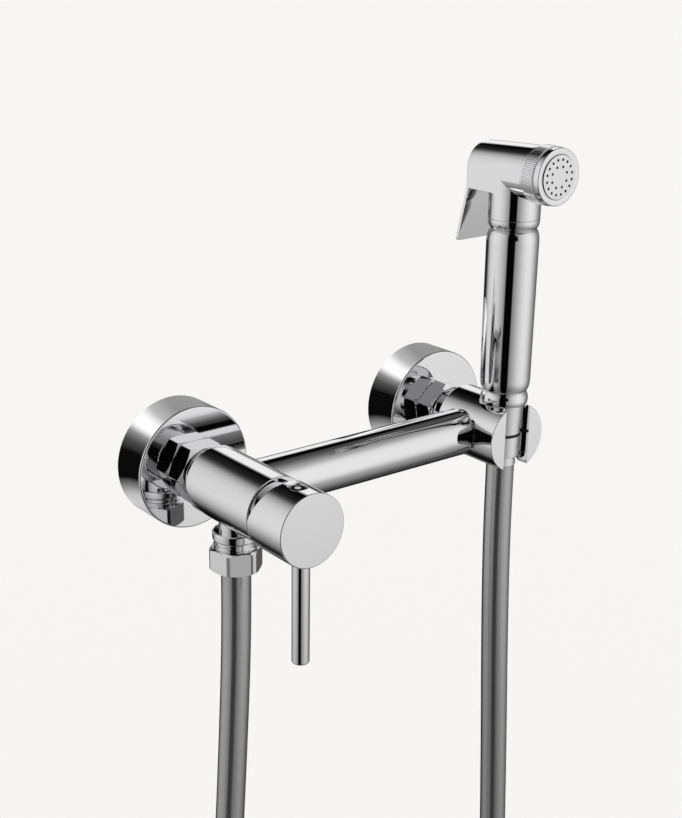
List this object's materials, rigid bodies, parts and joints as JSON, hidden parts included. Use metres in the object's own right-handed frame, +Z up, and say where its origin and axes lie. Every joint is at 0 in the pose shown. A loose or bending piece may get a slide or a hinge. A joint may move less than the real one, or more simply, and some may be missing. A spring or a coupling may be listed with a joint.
{
  "type": "bidet mixer",
  "caption": "Wall-mounted lever mixer with a crossbar, a trigger hand spray in a conical holder, and a hanging hose from the mixer's outlet to the spray.",
  "frame": {"origin": "midpoint between the two wall inlets' axes, on the finished wall's plane", "axes": "+X along the wall from the hot inlet to the cold inlet, +Y into the wall, +Z up"},
  "size_m": [0.2094, 0.1272, 0.6304],
  "materials": {
    "chrome": "polished chrome plate",
    "rose_chrome": "satin chrome plate",
    "brass": "machined brass",
    "stainless": "turned stainless steel",
    "rubber": "black rubber",
    "cartridge_plastic": "moulded acetal",
    "disc_ceramic": "lapped alumina",
    "hose_silver": "smooth silver-grey sheath, satin"
  },
  "bodies": {
    "root": {"wall_flange_left": "chrome", "wall_flange_right": "chrome", "s_union_left": "brass", "s_union_right": "brass", "union_nut_left": "chrome", "union_nut_right": "chrome", "inlet_washer_left": "rubber", "inlet_washer_right": "rubber", "inlet_strainer_left": "stainless", "inlet_strainer_right": "stainless", "inlet_tail_left": "chrome", "inlet_tail_right": "chrome", "valve_body": "chrome", "crossbar": "chrome", "bar_seal": "rubber", "holder_block": "chrome", "outlet_nipple": "chrome", "hose_nut": "chrome", "outlet_washer": "rubber", "outlet_hose_tail": "brass", "hose": "hose_silver", "cartridge_housing": "cartridge_plastic", "base_seals": "rubber", "fixed_disc": "disc_ceramic", "retaining_nut": "chrome", "cover_ring": "chrome"},
    "rotor": {"cartridge_rotor": "cartridge_plastic", "pivot_pin": "stainless"},
    "disc": {"moving_disc": "disc_ceramic", "disc_carrier": "cartridge_plastic"},
    "lever": {"spindle": "brass", "handle_cap": "chrome", "lever_rod": "chrome", "grub_screw": "stainless"},
    "hose_end": {"hose_end": "chrome"},
    "handset": {"cone_nut": "chrome", "cone_ring": "rubber", "spray_washer": "rubber", "spray_end": "chrome", "handle_sleeve": "chrome", "water_tube": "cartridge_plastic", "spray_head": "chrome", "trigger_pin": "stainless", "valve_gland": "brass", "gland_ring": "rubber", "valve_spring": "stainless", "knurled_ring": "chrome", "rose_plate": "rose_chrome", "rose_gasket": "rubber"},
    "trigger": {"trigger": "chrome"},
    "stem": {"valve_stem": "stainless", "valve_seal": "rubber"}
  },
  "joints": [
    {"name": "temperature", "type": "hinge", "parent": "root", "child": "rotor", "pos_m": [-0.075, -0.087, 0.008], "axis": [0, 1, 0], "range_deg": [-45, 45]},
    {"name": "flow", "type": "hinge", "parent": "rotor", "child": "lever", "pos_m": [-0.075, -0.087, 0.008], "axis": [-1, 0, 0], "range_deg": [0, 20]},
    {"name": "disc_slide", "type": "slide", "parent": "rotor", "child": "disc", "axis": [0, 0, -1], "range_m": [0, 0.0036]},
    {"name": "handset_lift", "type": "slide", "parent": "root", "child": "hose_end", "axis": [0, 0, 1], "range_m": [0, 0.04]},
    {"name": "handset_swivel", "type": "hinge", "parent": "hose_end", "child": "handset", "pos_m": [0.075, -0.0688, 0.008], "axis": [0, 0, 1], "continuous": true},
    {"name": "trigger_press", "type": "hinge", "parent": "handset", "child": "trigger", "pos_m": [0.075, -0.0516, 0.1277], "axis": [-1, 0, 0], "range_deg": [0, 10], "stiffness_Nm_per_rad": 0.2, "springref_deg": -14.32, "deforming": ["valve_spring"]},
    {"name": "stem_slide", "type": "slide", "parent": "handset", "child": "stem", "axis": [0, 1, 0], "range_m": [0, 0.0026]}
  ],
  "couplings": [
    {"joint": "disc_slide", "follows": "flow", "m_per_rad": 0.01},
    {"joint": "stem_slide", "follows": "trigger_press", "m_per_rad": 0.0143}
  ]
}
